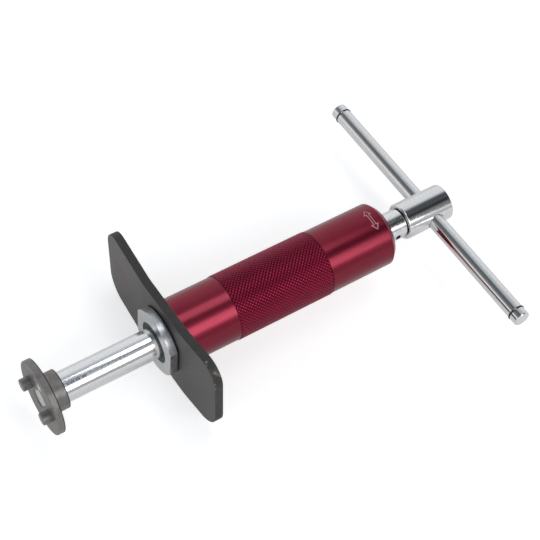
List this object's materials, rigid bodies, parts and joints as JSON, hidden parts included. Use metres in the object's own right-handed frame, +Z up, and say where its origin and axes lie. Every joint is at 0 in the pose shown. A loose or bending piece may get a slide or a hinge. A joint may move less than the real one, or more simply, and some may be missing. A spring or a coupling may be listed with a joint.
{
  "type": "brake caliper piston tool",
  "caption": "Hand tool that pushes and turns a brake piston back: sprung spindle in a knurled grip sleeve, swivelling force plate, piston adaptor with drive pins and a sliding tommy bar.",
  "frame": {"origin": "centre of the drive pin circle, on the front face of the piston adaptor", "axes": "+X along the spindle towards the handle, +Y roughly along the force plate's long side and the tommy bar, +Z up"},
  "size_m": [0.2389, 0.1618, 0.0531],
  "materials": {
    "red_anodised": "satin red anodising",
    "bright_zinc": "bright plated, smooth",
    "zinc_nut": "bright zinc, turned",
    "black_plate": "dull black oxide with faint rust",
    "grey_sinter": "dull grey phosphate",
    "dark_pin": "dull black oxide, turned",
    "dark_polymer": "smooth",
    "black_rubber": "dull",
    "plain_steel": "ground",
    "spring_steel": "oil tempered",
    "bronze": "sintered bronze"
  },
  "bodies": {
    "barrel": {"grip_sleeve": "red_anodised", "gland_nut": "zinc_nut", "front_bush": "dark_polymer", "plate_washer": "black_rubber", "stop_buffer": "black_rubber", "return_spring": "spring_steel", "spring_stop": "plain_steel", "rear_bush": "bronze"},
    "plate": {"force_plate": "black_plate"},
    "carriage": {"spring_seat": "plain_steel"},
    "spindle": {"spindle_rod": "bright_zinc", "nose_o_ring": "black_rubber", "thrust_collar": "plain_steel", "collar_circlip": "spring_steel", "thrust_washer": "bronze", "handle_head": "bright_zinc", "head_grub_screw": "spring_steel"},
    "bar": {"tommy_bar": "bright_zinc", "bar_snap_rings": "spring_steel"},
    "adaptor": {"adaptor_body": "grey_sinter", "drive_pin_far": "dark_pin", "drive_pin_near": "dark_pin"}
  },
  "joints": [
    {"name": "plate_swivel", "type": "hinge", "parent": "barrel", "child": "plate", "pos_m": [0.06808, 0, 0], "axis": [1, 0, 0], "continuous": true},
    {"name": "spindle_pull", "type": "slide", "parent": "barrel", "child": "carriage", "axis": [1, 0, 0], "range_m": [0, 0.045], "stiffness_N_per_m": 1150, "springref_m": -0.016, "deforming": ["return_spring"]},
    {"name": "spindle_turn", "type": "hinge", "parent": "carriage", "child": "spindle", "pos_m": [0.1, 0, 0], "axis": [1, 0, 0], "continuous": true},
    {"name": "bar_slide", "type": "slide", "parent": "spindle", "child": "bar", "axis": [0, 0.9995, -0.0314], "range_m": [-0.064, 0.064]},
    {"name": "adaptor_pull", "type": "slide", "parent": "spindle", "child": "adaptor", "axis": [-1, 0, 0], "range_m": [0, 0.0102]}
  ]
}
